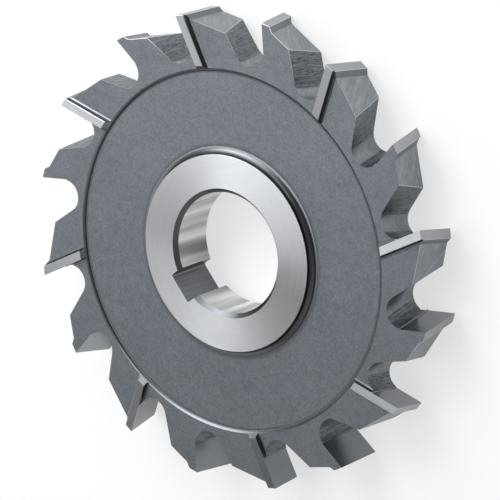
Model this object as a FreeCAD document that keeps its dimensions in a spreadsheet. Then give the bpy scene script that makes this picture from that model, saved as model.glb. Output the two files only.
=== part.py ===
import FreeCAD, Part
import math
import os
import Sketcher
from FreeCAD import Placement, Rotation, Vector

# A staggered-tooth side and face cutter, ground from one blank of high speed steel. Millimetres.
#
# The bore's axis is Z, the cutter lies on its lower hub face at Z = 0, and the keyway points along +Y.
# It turns counter-clockwise seen from above. Upper teeth carry a side land on the upper face. Lower teeth
# stand between them, carry theirs on the lower face and lean the other way across the rim.
#
# The body is drawn about the middle plane of the rim and is lifted by half its width at the end.

SIZES = {
    # Turned blank
    "outside_diameter": 125,
    "hub_width": 14,
    "hub_diameter": 52,
    "hub_fillet": 1.8,
    "web_depth": 2,
    "rim_wall_slope": 56,
    "rim_width": 13.6,
    "side_land_drop": 0.15,
    "grinding_stock": 0.5,
    # Bore and keyway, for an arbor with an 8 mm key
    "bore_diameter": 32,
    "bore_chamfer": 1.1,
    "key_width": 8,
    "key_side_clearance": 0.2,
    "keyway_rise": 3,
    "keyway_corner": 0.6,
    # Teeth
    "tooth_pairs": 8,
    "keyway_lead": 2.7,
    "helix_angle": 10,
    "rake_angle": 13,
    "rake_length": 8.2,
    "rake_step": 0.15,
    "tooth_depth": 12.5,
    "gullet_radius": 4.2,
    "gullet_opening": 30.3,
    "land_width": 2.5,
    "land_relief": 7,
    "land_step": 1.45,
    "land_step_slope": 55,
    "flank_slope": 25,
    "flank_reach": 0.7,
    # Sides of the teeth
    "side_land_width": 2.3,
    "side_relief": 1.2,
    "side_fillet": 1,
    "gash_width": 0.8,
    "gash_depth": 0.25,
    "gash_fillet": 0.6,
    # How far a grinding outline runs past the metal
    "overrun": 5,
}

half_width = "sizes.hub_width / 2"
bend_radius = "min(sizes.hub_fillet; 0.9 * sizes.web_depth)"
tip_radius = "sizes.outside_diameter / 2"
rim_inside = f"({tip_radius} - sizes.rim_width)"
gullet_circle = f"({tip_radius} - sizes.tooth_depth + sizes.gullet_radius)"
relief_depth = "sizes.side_land_drop + sizes.side_relief"
gash_floor = "sizes.side_land_drop + sizes.side_relief + sizes.gash_depth"
pitch = "180 / sizes.tooth_pairs"
side_rake = "atan(tan(sizes.rake_angle) / cos(sizes.helix_angle))"


# The driving dimensions, one row each, with the name beside its value.
def fill_sheet(doc):
    sheet = doc.addObject("Spreadsheet::Sheet", "sizes")
    for row, (alias, value) in enumerate(SIZES.items(), start=1):
        sheet.set(f"A{row}", alias)
        sheet.set(f"B{row}", str(value))
        sheet.setAlias(f"B{row}", alias)
    doc.recompute()
    return sheet


def origin_feature(body, role):
    for feature in body.Origin.OriginFeatures:
        if feature.Role == role:
            return feature
    raise ValueError(role)


# A sketch on one of the body's own planes, lifted off it, turned about its normal and tilted about the
# sketch's own X.
def new_sketch(body, name, plane="XY_Plane", lift="0", turn="0", tilt="0"):
    sketch = body.newObject("Sketcher::SketchObject", name)
    sketch.AttachmentSupport = (origin_feature(body, plane), [""])
    sketch.MapMode = "FlatFace"
    sketch.setExpression("AttachmentOffset", f"placement(vector(0; 0; {lift}); rotation({turn}; 0; {tilt}))")
    return sketch


# A dimension of the sketch that follows an expression of the sheet.
def dimension(sketch, kind, *target, size):
    value = sketch.evalExpression(size)
    if kind == "Angle":
        value = math.radians(value)
    index = sketch.addConstraint(Sketcher.Constraint(kind, *target, value))
    sketch.setExpression(f"Constraints[{index}]", size)


def dimension_point(sketch, edge, end, x, y):
    dimension(sketch, "DistanceX", -1, 1, edge, end, size=x)
    dimension(sketch, "DistanceY", -1, 1, edge, end, size=y)


def constrain(sketch, kind, *target):
    sketch.addConstraint(Sketcher.Constraint(kind, *target))


# A closed outline of straight edges, each corner dimensioned from the sketch's origin.
def draw_outline(sketch, corners):
    spots = [Vector(sketch.evalExpression(x), sketch.evalExpression(y)) for x, y in corners]
    nexts = spots[1:] + spots[:1]
    edges = [sketch.addGeometry(Part.LineSegment(a, b)) for a, b in zip(spots, nexts)]
    for edge, following, (x, y) in zip(edges, edges[1:] + edges[:1], corners):
        constrain(sketch, "Coincident", edge, 2, following, 1)
        dimension_point(sketch, edge, 1, x, y)


def turned(corner, angle):
    x, y = corner
    return (f"({x}) * cos({angle}) - ({y}) * sin({angle})", f"({x}) * sin({angle}) + ({y}) * cos({angle})")


# Half of the blank's section, from the middle plane up: bore, chamfer, hub, fillet, web, rim wall, rim face.
def turn_blank(body):
    sketch = new_sketch(body, "blank_section", "XZ_Plane")
    size = sketch.evalExpression
    bore = size("sizes.bore_diameter / 2")
    hub = size("sizes.hub_diameter / 2")
    rim = size(rim_inside)
    top = size(half_width)
    web = size(f"{half_width} - sizes.web_depth")
    chamfer = size("sizes.bore_chamfer")
    fillet = size(bend_radius)
    land = top - size("sizes.side_land_drop")
    outer = size(f"{tip_radius} + sizes.grinding_stock")
    wall_foot = rim - (land - web) / math.tan(math.radians(size("sizes.rim_wall_slope")))

    def line(x1, y1, x2, y2):
        return sketch.addGeometry(Part.LineSegment(Vector(x1, y1), Vector(x2, y2)))

    bore_wall = line(bore, 0, bore, top - chamfer)
    bore_edge = line(bore, top - chamfer, bore + chamfer, top)
    hub_face = line(bore + chamfer, top, hub, top)
    hub_wall = line(hub, top, hub, web + fillet)
    bend_circle = Part.Circle(Vector(hub + fillet, web + fillet), Vector(0, 0, 1), fillet)
    hub_bend = sketch.addGeometry(Part.ArcOfCircle(bend_circle, math.pi, 1.5 * math.pi))
    web_face = line(hub + fillet, web, wall_foot, web)
    rim_wall = line(wall_foot, web, rim, land)
    rim_face = line(rim, land, outer, land)
    rim_edge = line(outer, land, outer, 0)
    middle = line(outer, 0, bore, 0)

    outside = (middle, bore_wall, bore_edge, hub_face, hub_wall)
    inside = (web_face, rim_wall, rim_face, rim_edge, middle)
    for first, second in list(zip(outside, outside[1:])) + list(zip(inside, inside[1:])):
        constrain(sketch, "Coincident", first, 2, second, 1)
    constrain(sketch, "Tangent", hub_wall, 2, hub_bend, 1)
    constrain(sketch, "Tangent", hub_bend, 2, web_face, 1)
    for upright in (bore_wall, hub_wall, rim_edge):
        constrain(sketch, "Vertical", upright)
    for level in (hub_face, web_face, rim_face, middle):
        constrain(sketch, "Horizontal", level)
    constrain(sketch, "PointOnObject", middle, 2, -1)
    dimension_point(sketch, bore_wall, 2, "sizes.bore_diameter / 2", f"{half_width} - sizes.bore_chamfer")
    dimension_point(sketch, bore_edge, 2, "sizes.bore_diameter / 2 + sizes.bore_chamfer", half_width)
    dimension(sketch, "DistanceX", -1, 1, hub_wall, 1, size="sizes.hub_diameter / 2")
    dimension(sketch, "Radius", hub_bend, size=bend_radius)
    dimension(sketch, "DistanceY", -1, 1, web_face, 1, size=f"{half_width} - sizes.web_depth")
    dimension(sketch, "Angle", rim_wall, size="sizes.rim_wall_slope")
    dimension_point(sketch, rim_face, 1, rim_inside, f"{half_width} - sizes.side_land_drop")
    dimension(sketch, "DistanceX", -1, 1, rim_edge, 1, size=f"{tip_radius} + sizes.grinding_stock")

    blank = body.newObject("PartDesign::Revolution", "blank")
    blank.Profile = sketch
    blank.ReferenceAxis = (origin_feature(body, "Z_Axis"), [""])
    blank.Angle = 360
    other_half = body.newObject("PartDesign::Mirrored", "other_half")
    other_half.Originals = [blank]
    other_half.MirrorPlane = (origin_feature(body, "XY_Plane"), [""])
    other_half.Refine = True
    body.Tip = other_half


# A slot in the wall of the bore, its floor rounded into its sides. Its depth is measured out from that wall.
def cut_keyway(body):
    sketch = new_sketch(body, "keyway_section")
    side = "(sizes.key_width / 2 + sizes.key_side_clearance)"
    floor = "(sizes.bore_diameter / 2 + sizes.keyway_rise)"
    draw_outline(sketch, [(side, "0"), (side, floor), (f"-{side}", floor), (f"-{side}", "0")])
    keyway = body.newObject("PartDesign::Pocket", "keyway")
    keyway.Profile = sketch
    keyway.SideType = "Symmetric"
    keyway.Type = "Length"
    keyway.setExpression("Length", "sizes.hub_width + sizes.overrun")
    body.Document.recompute()

    corner_x, corner_y = sketch.evalExpression(side), sketch.evalExpression(floor)
    corners = []
    for number, edge in enumerate(keyway.Shape.Edges, start=1):
        middle = edge.BoundBox.Center
        if abs(abs(middle.x) - corner_x) < 0.001 and abs(middle.y - corner_y) < 0.001:
            corners.append(f"Edge{number}")
    fillet = body.newObject("PartDesign::Fillet", "keyway_corners")
    fillet.Base = (keyway, corners)
    fillet.setExpression("Radius", "sizes.keyway_corner")
    body.Tip = fillet


# The teeth are drawn in a frame of their own: X runs out through the cutting tip, Y the way it cuts.
# Upper teeth lead at the top of the rim, lower teeth at the bottom, so their outlines are tilted about X.
class Hand:
    def __init__(self, name, side, phase):
        self.name = name
        self.side = side
        self.phase = phase
        self.tilt = f"{-side} * sizes.helix_angle"

    # The line that a tooth's side edges slide along, from face to face.
    def lean(self, feature):
        feature.UseCustomVector = True
        feature.AlongSketchNormal = True
        feature.Direction = Vector(0, 0, 1)
        feature.setExpression("Direction.x", f"{-self.side} * sin({self.phase}) * tan(sizes.helix_angle)")
        feature.setExpression("Direction.y", f"{self.side} * cos({self.phase}) * tan(sizes.helix_angle)")


# The keyway lies just ahead of a lower tooth.
lower = Hand("lower", -1, "90 - sizes.keyway_lead")
upper = Hand("upper", 1, f"90 - sizes.keyway_lead + {pitch}")


# One copy of a cut for every tooth of its hand.
def repeat(body, cut):
    ring = body.newObject("PartDesign::PolarPattern", f"{cut.Name}_ring")
    ring.Originals = [cut]
    ring.Axis = (origin_feature(body, "Z_Axis"), [""])
    ring.Angle = 360
    ring.setExpression("Occurrences", "sizes.tooth_pairs")
    ring.Refine = True
    body.Tip = ring


# A cut right across the rim, leaning with its tooth.
def cut_across(body, hand, sketch, name):
    cut = body.newObject("PartDesign::Pocket", f"{hand.name}_{name}")
    cut.Profile = sketch
    cut.SideType = "Symmetric"
    cut.Type = "Length"
    cut.setExpression("Length", "sizes.hub_width + 2 * sizes.overrun")
    repeat(body, cut)


# A cut into one face of the rim, from the plane of the hub face.
def cut_into_side(body, hand, sketch, name, depth):
    cut = body.newObject("PartDesign::Pocket", f"{hand.name}_{name}")
    cut.Profile = sketch
    cut.Type = "Length"
    cut.Reversed = hand.side < 0
    cut.setExpression("Length", depth)
    return cut


# A point beside the cutting edge of a side land, a distance behind it, seen on the face of the rim.
def beside_side_edge(x, behind):
    edge = f"{half_width} * tan(sizes.helix_angle) + ({x} - {tip_radius}) * tan({side_rake})"
    return x, f"{edge} - ({behind}) / cos({side_rake})"


# Both side faces are ground back between the side lands, and a narrow gash clears each land's cutting edge.
def grind_side(body, hand):
    lift = f"{hand.side} * {half_width}"
    root = f"{rim_inside} - sizes.overrun"
    far = f"{tip_radius} + sizes.overrun"
    next_land = "-360 / sizes.tooth_pairs"

    sketch = new_sketch(body, f"{hand.name}_gash_outline", lift=lift, turn=hand.phase)
    draw_outline(sketch, [
        beside_side_edge(root, "0"),
        beside_side_edge(gullet_circle, "0"),
        beside_side_edge(gullet_circle, "-sizes.gash_width"),
        beside_side_edge(root, "-sizes.gash_width"),
    ])
    gash = cut_into_side(body, hand, sketch, "gash", gash_floor)
    hand.lean(gash)
    gash.Reversed = hand.side > 0
    repeat(body, gash)

    sketch = new_sketch(body, f"{hand.name}_relief_outline", lift=lift, turn=hand.phase)
    draw_outline(sketch, [
        beside_side_edge(root, "sizes.side_land_width"),
        beside_side_edge(far, "sizes.side_land_width"),
        turned((f"({far} + sizes.overrun) / cos({pitch})", "0"), f"-{pitch}"),
        turned(beside_side_edge(far, "-sizes.gash_width / 2"), next_land),
        turned(beside_side_edge(root, "-sizes.gash_width / 2"), next_land),
    ])
    relief = cut_into_side(body, hand, sketch, "relief", relief_depth)
    repeat(body, relief)


# The straight edges of the shape that lie at one height, a distance behind the side lands' cutting edges.
def edges_beside_lands(shape, sheet, hand, depth, behind):
    height = hand.side * (sheet.hub_width / 2 - depth)
    found = []
    for number, edge in enumerate(shape.Edges, start=1):
        ends = [vertex.Point for vertex in edge.Vertexes]
        if len(ends) < 2 or not isinstance(edge.Curve, Part.Line):
            continue
        if max(abs(end.z - height) for end in ends) > 0.001:
            continue
        middle = (ends[0] + ends[1]) / 2
        for tooth in range(sheet.tooth_pairs):
            angle = sheet.evalExpression(hand.phase) + tooth * 360 / sheet.tooth_pairs
            local = Rotation(Vector(0, 0, 1), -angle).multVec(middle)
            edge_y = sheet.evalExpression(beside_side_edge(str(local.x), str(behind))[1])
            if abs(local.y - edge_y) < 0.01 and local.x > 0:
                found.append(f"Edge{number}")
    return found


# The grinding wheels' corner radii, in the roots behind the side lands and in the gashes.
def round_side_roots(body, sheet):
    relief = sheet.evalExpression(relief_depth)
    gash = sheet.evalExpression(gash_floor)
    gash_lean = sheet.evalExpression(f"({gash_floor}) * tan(sizes.helix_angle) * cos({side_rake})")
    for name, depth, behind, radius in [
        ("side_root", relief, sheet.side_land_width, "min(sizes.side_fillet; 0.9 * sizes.side_relief)"),
        ("gash_root", gash, gash_lean, "min(sizes.gash_fillet; 0.75 * sizes.gash_width)"),
    ]:
        base = body.Tip
        edges = []
        for hand in (upper, lower):
            edges += edges_beside_lands(base.Shape, sheet, hand, depth, behind)
        fillet = body.newObject("PartDesign::Fillet", name)
        fillet.Base = (base, edges)
        fillet.setExpression("Radius", radius)
        body.Tip = fillet
        body.Document.recompute()


# The back of a tooth: a narrow land with little relief, a step down, and a steeper flank into the gullet.
def grind_flanks(body, hand):
    sketch = new_sketch(body, f"{hand.name}_flank_outline", turn=hand.phase, tilt=hand.tilt)
    land_end = f"({tip_radius} - sizes.land_width * tan(sizes.land_relief))"
    step_back = "(sizes.land_width + sizes.land_step / tan(sizes.land_step_slope))"
    reach = f"({tip_radius} * tan(sizes.flank_reach * {pitch}))"
    flank_end = f"{land_end} - sizes.land_step - ({reach} - {step_back}) * tan(sizes.flank_slope)"
    far = f"{tip_radius} + sizes.overrun"
    draw_outline(sketch, [
        (f"{tip_radius} + sizes.overrun * tan(sizes.land_relief)", "sizes.overrun"),
        (land_end, "-sizes.land_width"),
        (f"{land_end} - sizes.land_step", f"-{step_back}"),
        (flank_end, f"-{reach}"),
        (far, f"-{reach}"),
        (far, "sizes.overrun"),
    ])
    cut_across(body, hand, sketch, "flank")


# The gullet in front of a tooth: the ground rake face, the step where its grinding ends, the round floor
# and the back of the tooth ahead.
def mill_gullets(body, hand):
    sketch = new_sketch(body, f"{hand.name}_gullet_outline", turn=hand.phase, tilt=hand.tilt)
    size = sketch.evalExpression
    tip_x, far_x = size(tip_radius), size(f"{tip_radius} + sizes.overrun")
    rake = math.radians(size("sizes.rake_angle"))
    back = math.radians(size("sizes.rake_angle + sizes.gullet_opening"))
    radius = size("sizes.gullet_radius")
    length = size("sizes.rake_length")
    step = size("sizes.rake_step")
    along, ahead = Vector(math.cos(rake), math.sin(rake)), Vector(-math.sin(rake), math.cos(rake))
    tip = Vector(tip_x, 0)
    rise = radius + step + tip.dot(ahead)
    reach = math.sqrt(size(gullet_circle) ** 2 - rise ** 2)
    centre = along * reach + ahead * rise
    rake_end = tip - along * length
    short = (rake_end - centre).dot(along)
    step_end = centre + along * short - ahead * math.sqrt(radius ** 2 - short ** 2)
    back_start = centre + Vector(-math.sin(back), math.cos(back)) * radius
    outer = tip + along * ((far_x - tip_x) / math.cos(rake))
    back_end = back_start + Vector(1, math.tan(back)) * (far_x - back_start.x)

    def line(start, end):
        return sketch.addGeometry(Part.LineSegment(start, end))

    rake_face = line(rake_end, outer)
    rake_ledge = line(rake_end, step_end)
    step_angle = math.atan2(step_end.y - centre.y, step_end.x - centre.x) + 2 * math.pi
    circle = Part.Circle(centre, Vector(0, 0, 1), radius)
    floor = sketch.addGeometry(Part.ArcOfCircle(circle, back + math.pi / 2, step_angle))
    tooth_back = line(back_start, back_end)
    mouth = line(back_end, outer)
    cutting_tip = sketch.addGeometry(Part.Point(tip), True)

    constrain(sketch, "Coincident", rake_face, 1, rake_ledge, 1)
    constrain(sketch, "Coincident", rake_ledge, 2, floor, 2)
    constrain(sketch, "Tangent", floor, 1, tooth_back, 1)
    constrain(sketch, "Coincident", tooth_back, 2, mouth, 1)
    constrain(sketch, "Coincident", mouth, 2, rake_face, 2)
    constrain(sketch, "PointOnObject", cutting_tip, 1, -1)
    constrain(sketch, "PointOnObject", cutting_tip, 1, rake_face)
    constrain(sketch, "Perpendicular", rake_ledge, rake_face)
    dimension(sketch, "DistanceX", -1, 1, cutting_tip, 1, size=tip_radius)
    dimension(sketch, "Angle", rake_face, size="sizes.rake_angle")
    dimension(sketch, "Angle", tooth_back, size="sizes.rake_angle + sizes.gullet_opening")
    dimension(sketch, "Distance", cutting_tip, 1, rake_face, 1, size="sizes.rake_length")
    dimension(sketch, "Radius", floor, size="sizes.gullet_radius")
    dimension(sketch, "Distance", -1, 1, floor, 3, size=gullet_circle)
    dimension(sketch, "Distance", floor, 3, rake_face, size="sizes.gullet_radius + sizes.rake_step")
    dimension(sketch, "DistanceX", -1, 1, rake_face, 2, size=f"{tip_radius} + sizes.overrun")
    dimension(sketch, "DistanceX", -1, 1, tooth_back, 2, size=f"{tip_radius} + sizes.overrun")
    cut_across(body, hand, sketch, "gullet")


def make_cutter(doc, sheet):
    body = doc.addObject("PartDesign::Body", "cutter")
    body.Label = "cutter"
    turn_blank(body)
    cut_keyway(body)
    for hand in (upper, lower):
        grind_side(body, hand)
    doc.recompute()
    round_side_roots(body, sheet)
    for hand in (upper, lower):
        grind_flanks(body, hand)
    for hand in (upper, lower):
        mill_gullets(body, hand)
    body.Placement = Placement()
    body.setExpression("Placement.Base.z", half_width)
    doc.recompute()
    return body


def check(doc):
    for item in doc.Objects:
        if "Invalid" in item.State or "Error" in item.State:
            raise RuntimeError(f"{item.Name} did not compute: {item.State}")
        if item.isDerivedFrom("Sketcher::SketchObject") and not item.FullyConstrained:
            raise RuntimeError(f"{item.Name} is not fully constrained")


def write_step(body):
    shape = body.Shape
    if shape.isNull() or not shape.isValid() or len(shape.Solids) != 1:
        raise RuntimeError(f"{body.Label} is not one valid solid")
    os.makedirs("parts", exist_ok=True)
    shape.exportStep(f"parts/{body.Label}.step")
    box = shape.BoundBox
    print(f"{body.Label}: {shape.Volume:.0f} mm3, {len(shape.Faces)} faces,"
          f" {box.XLength:.2f} x {box.YLength:.2f} x {box.ZLength:.2f} mm")


doc = FreeCAD.newDocument("side_and_face_cutter")
sheet = fill_sheet(doc)
cutter = make_cutter(doc, sheet)
check(doc)
write_step(cutter)
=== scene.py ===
from math import cos, hypot, radians, sin
import bpy
import bmesh
from mathutils import Matrix, Vector


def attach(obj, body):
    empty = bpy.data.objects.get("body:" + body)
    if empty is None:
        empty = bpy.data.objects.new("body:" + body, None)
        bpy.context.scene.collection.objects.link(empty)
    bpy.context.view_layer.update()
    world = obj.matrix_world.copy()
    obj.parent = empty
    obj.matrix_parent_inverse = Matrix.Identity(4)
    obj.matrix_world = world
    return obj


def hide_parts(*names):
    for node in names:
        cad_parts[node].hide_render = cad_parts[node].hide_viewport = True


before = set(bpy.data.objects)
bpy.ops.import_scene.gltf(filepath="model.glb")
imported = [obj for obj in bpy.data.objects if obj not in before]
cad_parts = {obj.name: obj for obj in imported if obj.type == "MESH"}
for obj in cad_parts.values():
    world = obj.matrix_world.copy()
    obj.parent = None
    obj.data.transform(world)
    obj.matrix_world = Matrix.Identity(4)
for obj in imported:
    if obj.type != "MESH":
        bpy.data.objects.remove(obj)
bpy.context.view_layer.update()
mm = 0.001

# the cutter lies on its lower hub face, so the photograph's view is a rolled look down on it
view = {
    "aim": (-1.81, -2.04, 7.0),  # mm, in the middle of the picture
    "distance": 1066.26,  # mm
    "azimuth": -14.177,
    "elevation": 50.566,
    "roll": 109.608,
    "lens": 298.0,
    "sensor": 36,
    "reach": 20,  # m, the farthest that the camera sees
}


# azimuth 0 looks from the front, where y is lowest
def towards(azimuth, elevation):
    a, e = radians(azimuth), radians(elevation)
    return Vector((sin(a) * cos(e), -cos(a) * cos(e), sin(e)))


def placeCamera():
    azimuth, roll = radians(view["azimuth"]), radians(view["roll"])
    back = towards(view["azimuth"], view["elevation"])
    levelRight = Vector((cos(azimuth), sin(azimuth), 0))
    levelUp = back.cross(levelRight)
    up = levelUp * cos(roll) + levelRight * sin(roll)
    turn = Matrix((up.cross(back), up, back)).transposed().to_4x4()
    place = Vector(view["aim"]) * mm + back * view["distance"] * mm
    data = bpy.data.cameras.new("camera")
    data.lens = view["lens"]
    data.sensor_width = view["sensor"]
    data.clip_end = view["reach"]
    camera = bpy.data.objects.new("camera", data)
    camera.matrix_world = Matrix.Translation(place) @ turn
    bpy.context.scene.collection.objects.link(camera)
    bpy.context.scene.camera = camera


placeCamera()
print("camera placed")


# a value in a material; sums and products of values add the Math nodes
class Value:
    def __init__(self, finish, socket):
        self.finish = finish
        self.socket = socket

    def math(self, operation, a, b=0.0):
        return self.finish.add("ShaderNodeMath", {"operation": operation}, {0: a, 1: b})

    def __add__(self, other):
        return self.math("ADD", self, other)

    def __radd__(self, other):
        return self.math("ADD", other, self)

    def __sub__(self, other):
        return self.math("SUBTRACT", self, other)

    def __rsub__(self, other):
        return self.math("SUBTRACT", other, self)

    def __mul__(self, other):
        return self.math("MULTIPLY", self, other)

    def __rmul__(self, other):
        return self.math("MULTIPLY", other, self)

    def __truediv__(self, other):
        return self.math("DIVIDE", self, other)

    def __pow__(self, other):
        return self.math("POWER", self, other)

    def __abs__(self):
        return self.math("ABSOLUTE", self)


# one finish, with the patterns that the finishes share
class Finish:
    def __init__(self, name, look=None):
        self.look = look
        self.material = bpy.data.materials.new(name)
        self.material.use_nodes = True
        self.tree = self.material.node_tree
        self.shader = self.tree.nodes["Principled BSDF"]
        self.shader.inputs["Metallic"].default_value = 1.0
        self.place = self.add("ShaderNodeTexCoord", out="Object")
        parts = self.add("ShaderNodeSeparateXYZ", {}, {0: self.place}).socket.node
        self.x, self.y, self.z = [Value(self, parts.outputs[i]) for i in range(3)]

    def add(self, kind, settings=None, sockets=None, out=0):
        node = self.tree.nodes.new(kind)
        for name, value in (settings or {}).items():
            setattr(node, name, value)
        for name, value in (sockets or {}).items():
            if isinstance(value, Value):
                self.tree.links.new(value.socket, node.inputs[name])
            else:
                node.inputs[name].default_value = value
        return Value(self, node.outputs[out])

    def spot(self, x, y, z):
        return self.add("ShaderNodeCombineXYZ", {}, {0: x, 1: y, 2: z})

    def radius(self):
        return (self.x * self.x + self.y * self.y) ** 0.5

    # the way round the axis; a small lap, in mm a radian, draws the marks out that way
    def around(self, lap):
        angle = self.add("ShaderNodeMath", {"operation": "ARCTAN2"}, {0: self.y, 1: self.x})
        return angle * (lap * mm)

    # noise between 0 and 1 whose features measure so many mm
    def noise(self, spot, size, detail=2, rough=0.5):
        sockets = {"Vector": spot, "Scale": 1 / (size * mm), "Detail": detail, "Roughness": rough}
        return self.add("ShaderNodeTexNoise", {}, sockets)

    # takes 0 to 1 over to low to high
    def spread(self, value, low, high):
        sockets = {"Value": value, "To Min": low, "To Max": high}
        return self.add("ShaderNodeMapRange", {"clamp": True}, sockets)

    def tint(self, dark, light, amount):
        dark, light = [c if isinstance(c, Value) else (*c, 1) for c in (dark, light)]
        sockets = {0: amount, 6: dark, 7: light}
        return self.add("ShaderNodeMix", {"data_type": "RGBA"}, sockets, out=2)

    # 1 at this radius in mm, falling to 0 so far from it
    def band(self, radius, reach):
        return self.spread(1 - abs(self.radius() - radius * mm) / (reach * mm), 0, 1)

    # from the look's dark to its light, with painted shade in the corners
    def paint(self, amount):
        colour = self.tint(self.look["dark"], self.look["light"], amount)
        for paintedShade in self.look.get("paintedShade", ()):
            black = [c * paintedShade["shade"] for c in self.look["dark"]]
            cover = self.band(paintedShade["radius"], paintedShade["reach"]) * paintedShade["share"]
            colour = self.tint(colour, black, cover)
        return colour

    # colour, gloss and bumps by three patterns
    def wear(self, amount, gloss, height):
        bump = {"Height": height, "Distance": self.look["depth"] * mm}
        values = {
            "Base Color": self.paint(amount),
            "Roughness": self.spread(gloss, *self.look["rough"]),
            "Normal": self.add("ShaderNodeBump", {}, bump),
        }
        for name, value in values.items():
            self.tree.links.new(value.socket, self.shader.inputs[name])
        if "brushed" in self.look:
            self.shader.inputs["Anisotropic"].default_value = self.look["brushed"]
            self.shader.inputs["Anisotropic Rotation"].default_value = self.look["brushTurn"]
        return self.material


# sizes, depths and laps in mm; a small draw or lap stretches a pattern along its face
wheelMarks = {
    "line": {"size": 0.16, "detail": 3, "rough": 0.6}, "draw": 0.06, "lap": 4,
    "patch": {"size": 3}, "depth": 0.0015,
}
finishes = {
    "blasted": {
        "dark": (0.112, 0.124, 0.140), "light": (0.223, 0.243, 0.266), "rough": (0.42, 0.54),
        "grain": {"size": 0.55, "detail": 3, "rough": 0.75},
        "mottle": {"size": 1.9, "detail": 3, "rough": 0.6},
        "cloud": {"size": 14},
        "contrast": (-0.9, 1.9), "depth": 0.02,
        # painted shade: darker round the hub's foot and in the recess at the rim
        "paintedShade": [
            {"radius": 27.4, "reach": 1.5, "share": 0.6, "shade": 0.3},
            {"radius": 47.5, "reach": 0.8, "share": 1.0, "shade": 0.3},
        ],
    },
    "corner": {
        "dark": (0.135, 0.146, 0.159), "light": (0.255, 0.270, 0.288), "rough": (0.26, 0.34),
        "line": {"size": 0.2}, "lap": 0.4, "depth": 0.002,
        # painted shade: darker in the bend at the hub's foot and at the rim's wall
        "paintedShade": [
            {"radius": 26.0, "reach": 1.7, "share": 1.0, "shade": 0.3},
            {"radius": 47.5, "reach": 0.5, "share": 0.9, "shade": 0.3},
        ],
    },
    "hub": {
        "dark": (0.425, 0.439, 0.458), "light": (0.610, 0.623, 0.642), "rough": (0.26, 0.34),
        "line": {"size": 0.16, "detail": 3, "rough": 0.65}, "lap": 0.3,
        "ripple": {"size": 1.1}, "rippleLap": 4, "depth": 0.004,
        "brushed": 0.75, "brushTurn": 0.25,
    },
    "bore": {
        "dark": (0.220, 0.228, 0.238), "light": (0.850, 0.860, 0.870), "rough": (0.1, 0.2),
        "line": {"size": 0.12, "detail": 3, "rough": 0.6}, "lap": 0.8,
        "band": {"size": 5}, "draw": 0.05, "contrast": (-2.4, 3.2), "depth": 0.002,
        "shift": 117,  # mm into the noise, where a painted dark reflection band lies beside the keyway
    },
    "keyway": {
        "dark": (0.104, 0.111, 0.122), "light": (0.273, 0.287, 0.305), "rough": (0.3, 0.42),
        "line": {"size": 0.3, "detail": 3, "rough": 0.6}, "draw": 0.02, "depth": 0.02,
    },
    "land": {
        "dark": (0.271, 0.283, 0.298), "light": (0.402, 0.416, 0.436), "rough": (0.2, 0.3),
        "line": {"size": 0.13, "detail": 3, "rough": 0.6}, "lap": 0.6,
        "patch": {"size": 2.5}, "depth": 0.0003,
    },
    "sideLand": {
        "dark": (0.316, 0.327, 0.342), "light": (0.446, 0.460, 0.479), "rough": (0.38, 0.42),
        "line": {"size": 0.2}, "draw": 0.03, "lap": 55, "patch": {"size": 2.5}, "depth": 0.0006,
        "brushed": 0.9, "brushTurn": 0.0,
    },
    "relief": {
        # near black: painted shade on the wall behind a side land
        "dark": (0.02, 0.022, 0.025), "light": (0.05, 0.054, 0.06), "rough": (0.4, 0.5),
        "grain": {"size": 0.4, "detail": 3}, "depth": 0.004,
    },
    "rake": {
        "dark": (0.194, 0.207, 0.222), "light": (0.290, 0.306, 0.323), "rough": (0.2, 0.3),
        **wheelMarks,
    },
    "chamfer": {
        "dark": (0.080, 0.085, 0.092), "light": (0.170, 0.180, 0.193), "rough": (0.24, 0.34),
        **wheelMarks,
    },
    "step": {
        "dark": (0.12, 0.128, 0.138), "light": (0.20, 0.21, 0.225), "rough": (0.26, 0.36),
        **wheelMarks,
    },
    "flank": {
        "dark": (0.185, 0.204, 0.223), "light": (0.340, 0.363, 0.387), "rough": (0.36, 0.46),
        "grain": {"size": 0.4, "detail": 4, "rough": 0.7},
        "cloud": {"size": 2.4, "detail": 3},
        "line": {"size": 0.34, "detail": 3, "rough": 0.6}, "slant": 0.3, "lap": 2, "draw": 0.04,
        "scratch": {"above": 0.58, "sharpness": 7, "brightness": 0.25, "depth": 0.6},
        "contrast": (-1.1, 2.1), "depth": 0.03,
    },
    "milled": {
        "dark": (0.054, 0.0603, 0.0693), "light": (0.225, 0.245, 0.267), "rough": (0.32, 0.44),
        "line": {"size": 0.36, "detail": 3, "rough": 0.6}, "lap": 1, "draw": 0.05,
        "patch": {"size": 1.3, "detail": 4, "rough": 0.65},
        "wave": {"size": 4}, "sway": 0.8,
        "grooveSharpness": 16, "contrast": (-0.6, 1.5), "depth": 0.06,
    },
    "edge": {
        "dark": (0.42, 0.44, 0.46), "light": (0.62, 0.64, 0.66), "rough": (0.26, 0.36),
        "grain": {"size": 0.4}, "depth": 0.002,
    },
}


# bead-blasted sides: fine grain and a faint cloudiness, with painted shade beside the hub's foot
# and in the rim's recess
def blastedSteel():
    look = finishes["blasted"]
    f = Finish("blastedSteel", look)
    grain = f.noise(f.place, **look["grain"])
    cloud = f.noise(f.place, **look["cloud"])
    mottle = f.noise(f.place, **look["mottle"])
    amount = grain * 0.65 + cloud * 0.1 + mottle * 0.25
    return f.wear(f.spread(amount, *look["contrast"]), grain, grain)


# hub faces ground on a turning table, so the marks run round the bore
def groundHub():
    look = finishes["hub"]
    f = Finish("groundHub", look)
    fine = f.noise(f.spot(f.radius(), f.around(look["lap"]), 0.0), **look["line"])
    broad = f.noise(f.spot(f.radius(), f.around(look["rippleLap"]), 0.0), **look["ripple"])
    return f.wear(fine * 0.7 + broad * 0.3, broad, fine)


# turned corners at the foot of the hub and of the rim, smoother than the blasted sides, darkened
# with painted shade
def turnedCorner():
    look = finishes["corner"]
    f = Finish("turnedCorner", look)
    fine = f.noise(f.spot(f.radius(), f.around(look["lap"]), f.z), **look["line"])
    return f.wear(fine, fine, fine)
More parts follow.
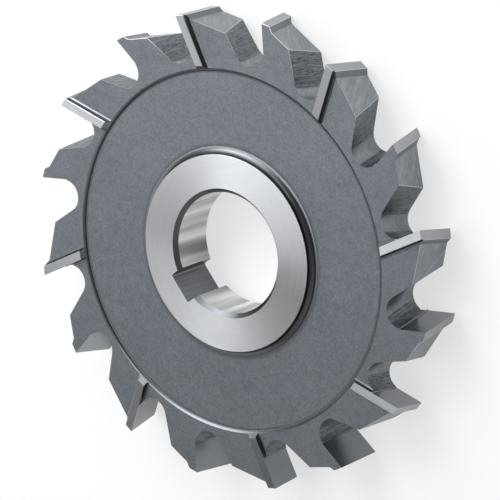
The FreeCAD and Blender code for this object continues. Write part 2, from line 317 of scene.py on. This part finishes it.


# the bore is ground round and round; brighter and duller bands along it are painted reflections
def groundBore():
    look = finishes["bore"]
    f = Finish("groundBore", look)
    fine = f.noise(f.spot(f.around(look["lap"]), f.z, 0.0), **look["line"])
    along = f.z * look["draw"] + look["shift"] * mm
    reflectionBands = f.noise(f.spot(f.x, f.y, along), **look["band"])
    amount = f.spread(reflectionBands, *look["contrast"]) * 0.85 + fine * 0.15
    return f.wear(amount, reflectionBands, fine)


# the broach leaves its marks along the keyway
def broachedKeyway():
    look = finishes["keyway"]
    f = Finish("broachedKeyway", look)
    fine = f.noise(f.spot(f.x, f.y, f.z * look["draw"]), **look["line"])
    return f.wear(fine, fine, fine)


# wheel marks along the cutting edges, far too shallow to feel
def groundLand():
    look = finishes["land"]
    f = Finish("groundLand", look)
    fine = f.noise(f.spot(f.radius(), f.z, f.around(look["lap"])), **look["line"])
    broad = f.noise(f.place, **look["patch"])
    return f.wear(fine * 0.5 + broad * 0.5, broad, fine)


# side lands are ground along their length, out from the hub
def groundSideLand():
    look = finishes["sideLand"]
    f = Finish("groundSideLand", look)
    fine = f.noise(f.spot(f.radius() * look["draw"], f.z, f.around(look["lap"])), **look["line"])
    broad = f.noise(f.place, **look["patch"])
    return f.wear(fine * 0.4 + broad * 0.6, broad, fine)


# the small wall behind a side land, made near black as painted shade
def reliefWallPaintedShade():
    look = finishes["relief"]
    f = Finish("reliefWallPaintedShade", look)
    grain = f.noise(f.place, **look["grain"])
    return f.wear(grain, grain, grain)


def wheelGround(name, look):
    f = Finish(name, look)
    fine = f.noise(f.spot(f.radius() * look["draw"], f.z, f.around(look["lap"])), **look["line"])
    broad = f.noise(f.place, **look["patch"])
    return f.wear(fine * 0.5 + broad * 0.5, broad, fine)


def groundRake():
    return wheelGround("groundRake", finishes["rake"])


def groundStep():
    return wheelGround("groundStep", finishes["step"])


def turnedChamfer():
    return wheelGround("turnedChamfer", finishes["chamfer"])


# backs of the teeth: even grain and a few stray scratches across
def reliefFlank():
    look = finishes["flank"]
    f = Finish("reliefFlank", look)
    grain = f.noise(f.place, **look["grain"])
    cloud = f.noise(f.place, **look["cloud"])
    leaning = f.radius() + f.z * look["slant"]
    line = f.noise(f.spot(leaning, f.around(look["lap"]), f.z * look["draw"]), **look["line"])
    mark = look["scratch"]
    scratch = f.spread((line - mark["above"]) * mark["sharpness"], 0, 1)
    plain = f.spread(grain * 0.3 + line * 0.4 + cloud * 0.3, *look["contrast"])
    height = line + grain * 0.4 - scratch * mark["depth"]
    return f.wear(plain + scratch * mark["brightness"], cloud, height)


# gullets keep the milling cutter's wavy feed marks
def milledGullet():
    look = finishes["milled"]
    f = Finish("milledGullet", look)
    swayed = f.radius() + f.noise(f.place, **look["wave"]) * (look["sway"] * mm)
    line = f.noise(f.spot(swayed, f.z * look["draw"], f.around(look["lap"])), **look["line"])
    groove = f.spread(abs(line - 0.5) * look["grooveSharpness"], 0, 1)
    patch = f.noise(f.place, **look["patch"])
    amount = f.spread(line * 0.3 + groove * 0.3 + patch * 0.4, *look["contrast"])
    return f.wear(amount, patch, line * 0.5 + groove * 0.4 + patch * 0.3)


# sharp corners broken with a stone, and coloured brighter than their faces as a painted highlight
def brokenEdgeHighlight():
    look = finishes["edge"]
    f = Finish("brokenEdgeHighlight", look)
    grain = f.noise(f.place, **look["grain"])
    return f.wear(grain, grain, grain)


# in the order of the material slots
makers = {
    "blasted": blastedSteel,
    "corner": turnedCorner,
    "hub": groundHub,
    "bore": groundBore,
    "chamfer": turnedChamfer,
    "keyway": broachedKeyway,
    "land": groundLand,
    "sideLand": groundSideLand,
    "relief": reliefWallPaintedShade,
    "rake": groundRake,
    "step": groundStep,
    "flank": reliefFlank,
    "milled": milledGullet,
    "edge": brokenEdgeHighlight,
}

# in mm from the bore's axis and from the floor; the lower side mirrors the upper
cutter = {
    "top": 14.0,
    "web": 12.0,
    "hubRadius": 26.0,
    "webRadius": 47.65,
    "slack": 0.01,  # how far a place on the solid may be off
    "merge": 0.001,
    "flatten": 0.05,  # degrees within which facets become one face
    "bendRadius": 1.8,  # arc between the hub's wall and the web
    "bendRings": 10,
    "webCorner": 0.45,  # round left by the turning tool where the web meets the rim
    "webSteps": 4,
    "brokenHub": 0.14,
    "hubSteps": 2,
    "brokenTooth": 0.09,
    "toothSteps": 1,
    "toothFoot": 48.6,  # edges inside this radius stay sharp
    "shortEdge": 0.8,  # so do shorter ones
    "shallowEdge": 25,  # and those that turn by fewer degrees
    "sliver": 0.01,  # what the bevels leave thinner than this is dissolved
    "smooth": 28,  # degrees
    # where one finish ends and the next begins, radii first
    "ends": {
        "boreWall": 16.05,
        "keywaySide": 18.4,
        "bore": 19.3,
        "hub": 27,
        "web": 49,
        "rake": 54.6,
        "step": 60.6,
        "land": 61.2,
        "rootHeight": 12.2,
        "sideLandHeight": 13.7,
        "topHeight": 13.9,
    },
    # how squarely a face of each kind looks up, out from the axis or on round it, 1 the most
    "facing": {
        "flat": 0.98,
        "topFace": 0.9,
        "corner": 0.85,
        "chamfer": 0.3,
        "relief": 0.25,
        "keywaySide": 0.9,
        "rimWall": 0.9,
        "rake": 0.7,
        "land": 0.975,
        "flank": 0.86,
        "step": 0.45,
    },
}
middle = cutter["top"] / 2


def clearSelection():
    bpy.ops.object.select_all(action="DESELECT")


# where a face lies, in mm, and how far it looks out, on and up
def faceFacts(face):
    centre = face.calc_center_median()
    radius = hypot(centre.x, centre.y)
    outward = Vector((centre.x, centre.y, 0)) / radius
    onward = Vector((-outward.y, outward.x, 0))
    height = abs(centre.z / mm - middle) + middle
    out, on, up = face.normal.dot(outward), face.normal.dot(onward), abs(face.normal.z)
    return radius / mm, height, out, on, up


def isRake(face):
    radius, height, out, on, up = faceFacts(face)
    return radius > cutter["ends"]["rake"] and on > cutter["facing"]["rake"]


def zoneInBore(face):
    radius, height, out, on, up = faceFacts(face)
    ends, facing = cutter["ends"], cutter["facing"]
    if up > facing["chamfer"]:
        return "chamfer"
    sideways = abs(face.normal.x) > facing["keywaySide"]
    if radius > ends["keywaySide"] or radius > ends["boreWall"] and sideways:
        return "keyway"
    return "bore"


def zoneOf(face):
    radius, height, out, on, up = faceFacts(face)
    ends, facing = cutter["ends"], cutter["facing"]
    onTop = height > ends["topHeight"] and up > facing["topFace"]
    if radius < ends["bore"] and not onTop:
        return zoneInBore(face)
    if radius < ends["hub"] and onTop:
        return "hub"
    if radius < ends["web"] and out < facing["rimWall"]:
        return "corner" if up < facing["flat"] else "blasted"
    if up > facing["flat"]:
        return "sideLand" if height > ends["sideLandHeight"] else "blasted"
    if height > ends["rootHeight"] and up > facing["relief"]:
        return "corner" if up > facing["corner"] else "relief"
    if isRake(face):
        return "rake"
    if radius > ends["land"] and out > facing["land"]:
        return "land"
    if radius > ends["step"] and out > facing["step"]:
        return "step"
    if out > facing["flank"]:
        return "flank"
    return "milled"


def pickEdges(piece, test):
    bpy.ops.mesh.select_mode(type="EDGE")
    mesh = bmesh.from_edit_mesh(piece.data)
    for face in mesh.faces:
        face.select_set(False)
    for edge in mesh.edges:
        edge.select_set(test(edge))
    bmesh.update_edit_mesh(piece.data)


# radius and height of an edge's two corners, in mm
def cornersOf(edge):
    return [(hypot(v.co.x, v.co.y) / mm, abs(v.co.z / mm - middle) + middle) for v in edge.verts]


def onCircle(edge, radius, height):
    slack = cutter["slack"]
    return all(abs(r - radius) < slack * 3 and abs(h - height) < slack
               for r, h in cornersOf(edge))


def onWebCorner(edge):
    return onCircle(edge, cutter["webRadius"], cutter["web"])


def onHubEdge(edge):
    return onCircle(edge, cutter["hubRadius"], cutter["top"])


# a tooth's outer edges, apart from the sharp cutting edges round its rake face
def onToothEdge(edge):
    if len(edge.link_faces) != 2 or edge.calc_length() < cutter["shortEdge"] * mm:
        return False
    if min(radius for radius, height in cornersOf(edge)) < cutter["toothFoot"]:
        return False
    if any(isRake(face) for face in edge.link_faces):
        return False
    return edge.calc_face_angle_signed() > radians(cutter["shallowEdge"])


def inBend(face):
    radius, height, out, on, up = faceFacts(face)
    near, low, size = cutter["hubRadius"], cutter["web"], cutter["bendRadius"]
    slack = cutter["slack"]
    return (near - slack * 2 < radius < near + size
            and low + slack / 3 < height < low + size - slack)


# an edge of the gap in the mesh, on the upper side (1) or the lower (-1)
def onGap(edge, side):
    return edge.is_boundary and edge.verts[0].co.z * side > middle * mm * side


# the bend's facets are uneven, so they are cleared and drawn out again in even rings
def roundBend(piece, finish):
    size, rings = cutter["bendRadius"], cutter["bendRings"]
    wide, high = cutter["hubRadius"] + size, cutter["web"] + size
    bpy.ops.mesh.select_mode(type="FACE")
    for face in bmesh.from_edit_mesh(piece.data).faces:
        face.select_set(inBend(face))
    bmesh.update_edit_mesh(piece.data)
    bpy.ops.mesh.delete(type="FACE")
    for side in (1, -1):
        pickEdges(piece, lambda edge: onGap(edge, side) and onCircle(edge, wide - size, high))
        for ring in range(1, rings):
            turn = radians(90) * ring / rings
            radius, height = wide - size * cos(turn), high - size * sin(turn)
            bpy.ops.mesh.extrude_edges_move()
            for v in bmesh.from_edit_mesh(piece.data).verts:
                if v.select:
                    grow = radius * mm / hypot(v.co.x, v.co.y)
                    level = (middle + (height - middle) * side) * mm
                    v.co = (v.co.x * grow, v.co.y * grow, level)
            bmesh.update_edit_mesh(piece.data)
        pickEdges(piece, lambda edge: onGap(edge, side))
        bpy.ops.mesh.bridge_edge_loops()
    for face in bmesh.from_edit_mesh(piece.data).faces:
        if inBend(face):
            face.material_index = finish
    bmesh.update_edit_mesh(piece.data)
    bpy.ops.mesh.select_all(action="SELECT")
    bpy.ops.mesh.normals_make_consistent(inside=False)


def breakEdges(piece, slots):
    pickEdges(piece, onWebCorner)
    bpy.ops.mesh.bevel(offset=cutter["webCorner"] * mm, segments=cutter["webSteps"],
                       clamp_overlap=False, material=slots.index("corner"))
    pickEdges(piece, onHubEdge)
    bpy.ops.mesh.bevel(offset=cutter["brokenHub"] * mm, segments=cutter["hubSteps"],
                       clamp_overlap=False)
    pickEdges(piece, onToothEdge)
    bpy.ops.mesh.bevel(offset=cutter["brokenTooth"] * mm, segments=cutter["toothSteps"],
                       clamp_overlap=False, material=slots.index("edge"))
    bpy.ops.mesh.select_all(action="SELECT")
    bpy.ops.mesh.dissolve_degenerate(threshold=cutter["sliver"] * mm)


# a merged copy of the solid, with its finishes laid on and its corners rounded
def dressCutter():
    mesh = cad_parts["cutter"].data.copy()
    piece = bpy.data.objects.new("cutterBody", mesh)
    bpy.context.scene.collection.objects.link(piece)
    mesh.materials.clear()
    clearSelection()
    piece.select_set(True)
    bpy.context.view_layer.objects.active = piece

    bpy.ops.mesh.customdata_custom_splitnormals_clear()
    bpy.ops.object.mode_set(mode="EDIT")
    bpy.ops.mesh.select_all(action="SELECT")
    bpy.ops.mesh.remove_doubles(threshold=cutter["merge"] * mm)
    bpy.ops.mesh.dissolve_limited(angle_limit=radians(cutter["flatten"]))
    bpy.ops.object.mode_set(mode="OBJECT")
    print("cutter merged:", len(mesh.polygons), "faces")

    slots = list(makers)
    for name in slots:
        mesh.materials.append(makers[name]())
    bpy.ops.object.mode_set(mode="EDIT")
    for face in bmesh.from_edit_mesh(mesh).faces:
        face.material_index = slots.index(zoneOf(face))
    bmesh.update_edit_mesh(mesh)
    print("finishes laid on:", len(slots))

    roundBend(piece, slots.index("corner"))
    breakEdges(piece, slots)
    bpy.ops.object.mode_set(mode="OBJECT")
    print("edges broken:", len(mesh.polygons), "faces")

    bpy.ops.object.shade_smooth_by_angle(angle=radians(cutter["smooth"]))
    even = piece.modifiers.new("evenFaces", "WEIGHTED_NORMAL")
    even.mode = "FACE_AREA_WITH_ANGLE"
    even.keep_sharp = True
    bpy.ops.object.modifier_apply(modifier=even.name)

    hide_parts("cutter")
    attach(piece, "root")


dressCutter()
print("cutter dressed")

# a pale floor in a dim room: key lamps at the picture's top, weaker ones round the rest
studio = {
    "floor": (0.93, 0.93, 0.93),
    "floorSize": 6,  # m
    "floorRough": 0.9,
    "glow": 0.65,  # share of the floor seen as plain white, so its shadow stays light
    "mirrored": 0.5,  # the same share in the steel's reflections
    "wall": {"radius": 2.9, "height": 0.8, "sides": 96},  # m, a round backdrop for level views
    "room": (0.015, 0.015, 0.015),
    "lampDistance": 900,  # mm, as the lamps' sizes are
    "lamps": [
        {"name": "key", "azimuth": 90, "elevation": 40, "size": 520, "power": 4.3},
        {"name": "keyLow", "azimuth": 74, "elevation": 21, "size": 800, "power": 7.8},
        {"name": "backHigh", "azimuth": 134, "elevation": 62, "size": 560, "power": 2.6},
        {"name": "backLow", "azimuth": 150, "elevation": 20, "size": 520, "power": 1.0},
        {"name": "leftLow", "azimuth": 28, "elevation": 21, "size": 460, "power": 1.5},
        {"name": "farLow", "azimuth": 200, "elevation": 24, "size": 700, "power": 1.0},
        {"name": "farFill", "azimuth": 265, "elevation": 34, "size": 900, "power": 1.3},
        {"name": "frontFill", "azimuth": 330, "elevation": 34, "size": 900, "power": 0.8},
    ],
}


def palePaper():
    f = Finish("paleFloor")
    f.shader.inputs["Metallic"].default_value = 0.0
    f.shader.inputs["Base Color"].default_value = (*studio["floor"], 1)
    f.shader.inputs["Roughness"].default_value = studio["floorRough"]
    f.shader.inputs["Specular IOR Level"].default_value = 0.0
    path = f.add("ShaderNodeLightPath").socket.node
    rays = ("Is Camera Ray", "Is Glossy Ray", "Is Transmission Ray")
    camera, glossy, through = [Value(f, path.outputs[ray]) for ray in rays]
    glow = f.add("ShaderNodeEmission", {}, {"Color": (1, 1, 1, 1), "Strength": 1.0})
    share = camera * studio["glow"] + (glossy + through) * studio["mirrored"]
    paper = Value(f, f.shader.outputs["BSDF"])
    mixed = f.add("ShaderNodeMixShader", {}, {0: share, 1: paper, 2: glow})
    f.tree.links.new(mixed.socket, f.tree.nodes["Material Output"].inputs["Surface"])
    return f.material


def layFloor():
    paper, wall = palePaper(), studio["wall"]
    clearSelection()
    bpy.ops.mesh.primitive_plane_add(size=studio["floorSize"])
    floor = bpy.context.active_object
    floor.name = "floor"
    clearSelection()
    bpy.ops.mesh.primitive_cylinder_add(
        vertices=wall["sides"], radius=wall["radius"], depth=wall["height"],
        end_fill_type="NOTHING", location=(0, 0, wall["height"] / 2))
    backdrop = bpy.context.active_object
    backdrop.name = "backdrop"
    for sheet in (floor, backdrop):
        sheet.data.materials.append(paper)


def hangLamp(lamp):
    data = bpy.data.lights.new(lamp["name"], "AREA")
    data.shape = "SQUARE"
    data.size = lamp["size"] * mm
    data.energy = lamp["power"]
    away = towards(lamp["azimuth"], lamp["elevation"])
    light = bpy.data.objects.new(lamp["name"], data)
    light.location = away * studio["lampDistance"] * mm
    light.rotation_euler = away.to_track_quat("Z", "Y").to_euler()
    bpy.context.scene.collection.objects.link(light)


def lightRoom():
    world = bpy.data.worlds.new("room")
    bpy.context.scene.world = world
    world.use_nodes = True
    world.node_tree.nodes["Background"].inputs["Color"].default_value = (*studio["room"], 1)
    for lamp in studio["lamps"]:
        hangLamp(lamp)


layFloor()
lightRoom()
bpy.context.scene.view_settings.view_transform = "Standard"
print("studio lit")
